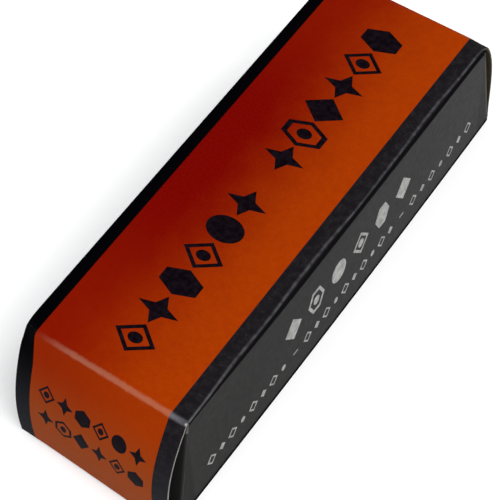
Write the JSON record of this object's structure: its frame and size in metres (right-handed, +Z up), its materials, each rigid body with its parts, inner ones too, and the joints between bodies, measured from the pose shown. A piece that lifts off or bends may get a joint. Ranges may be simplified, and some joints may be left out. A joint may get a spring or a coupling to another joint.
{
  "type": "boxed polishing compound bar",
  "caption": "Bar of polishing compound in a folding paperboard carton with outward-sloping ends, hinged tuck flaps, tongues and dust flaps.",
  "frame": {"origin": "middle of the bottom panel's underside", "axes": "+Y from the front end to the rear end along the carton, +X to its right, +Z up"},
  "size_m": [0.0356, 0.1121, 0.029],
  "materials": {
    "printed_orange": "satin",
    "printed_dark": "satin",
    "board_kraft": "matte",
    "compound": "satin"
  },
  "bodies": {
    "sleeve": {"top_panel": "printed_orange", "bottom_panel": "printed_dark", "left_side_panel": "printed_dark", "right_side_panel": "printed_dark", "glue_seam": "board_kraft"},
    "bar": {"compound_bar": "compound"},
    "front_flap": {"front_tuck_flap": "printed_orange"},
    "front_tongue": {"front_tuck_tongue": "board_kraft"},
    "front_left_dust": {"front_left_dust_flap": "board_kraft"},
    "front_right_dust": {"front_right_dust_flap": "board_kraft"},
    "rear_flap": {"rear_tuck_flap": "printed_orange"},
    "rear_tongue": {"rear_tuck_tongue": "board_kraft"},
    "rear_left_dust": {"rear_left_dust_flap": "board_kraft"},
    "rear_right_dust": {"rear_right_dust_flap": "board_kraft"}
  },
  "joints": [
    {"name": "front_flap_fold", "type": "hinge", "parent": "sleeve", "child": "front_flap", "pos_m": [0, -0.0495, 0.029], "axis": [-1, 0, 0], "range_deg": [0, 150]},
    {"name": "rear_flap_fold", "type": "hinge", "parent": "sleeve", "child": "rear_flap", "pos_m": [0, 0.0495, 0.029], "axis": [1, 0, 0], "range_deg": [0, 150]},
    {"name": "front_tongue_fold", "type": "hinge", "parent": "front_flap", "child": "front_tongue", "pos_m": [0, -0.0567, 0.00062], "axis": [-1, 0, 0], "range_deg": [0, 46]},
    {"name": "front_left_dust_fold", "type": "hinge", "parent": "sleeve", "child": "front_left_dust", "pos_m": [-0.01775, -0.0495, 0.029], "axis": [0, -0.1863, -0.9825], "range_deg": [0, 91]},
    {"name": "front_right_dust_fold", "type": "hinge", "parent": "sleeve", "child": "front_right_dust", "pos_m": [0.01775, -0.0495, 0.029], "axis": [0, 0.1863, 0.9825], "range_deg": [0, 91]},
    {"name": "rear_tongue_fold", "type": "hinge", "parent": "rear_flap", "child": "rear_tongue", "pos_m": [0, 0.0551, 0.00062], "axis": [1, 0, 0], "range_deg": [0, 46]},
    {"name": "rear_left_dust_fold", "type": "hinge", "parent": "sleeve", "child": "rear_left_dust", "pos_m": [-0.01775, 0.0495, 0.029], "axis": [0, -0.1863, 0.9825], "range_deg": [0, 91]},
    {"name": "rear_right_dust_fold", "type": "hinge", "parent": "sleeve", "child": "rear_right_dust", "pos_m": [0.01775, 0.0495, 0.029], "axis": [0, 0.1863, -0.9825], "range_deg": [0, 91]},
    {"name": "bar_slide", "type": "slide", "parent": "sleeve", "child": "bar", "axis": [0, 1, 0], "range_m": [-0.0009, 0.0009]}
  ],
  "couplings": [
    {"joint": "front_tongue_fold", "follows": "front_flap_fold", "ratio": 0.3},
    {"joint": "front_left_dust_fold", "follows": "front_flap_fold", "ratio": 0.6},
    {"joint": "front_right_dust_fold", "follows": "front_flap_fold", "ratio": 0.6},
    {"joint": "rear_tongue_fold", "follows": "rear_flap_fold", "ratio": 0.3},
    {"joint": "rear_left_dust_fold", "follows": "rear_flap_fold", "ratio": 0.6},
    {"joint": "rear_right_dust_fold", "follows": "rear_flap_fold", "ratio": 0.6}
  ]
}
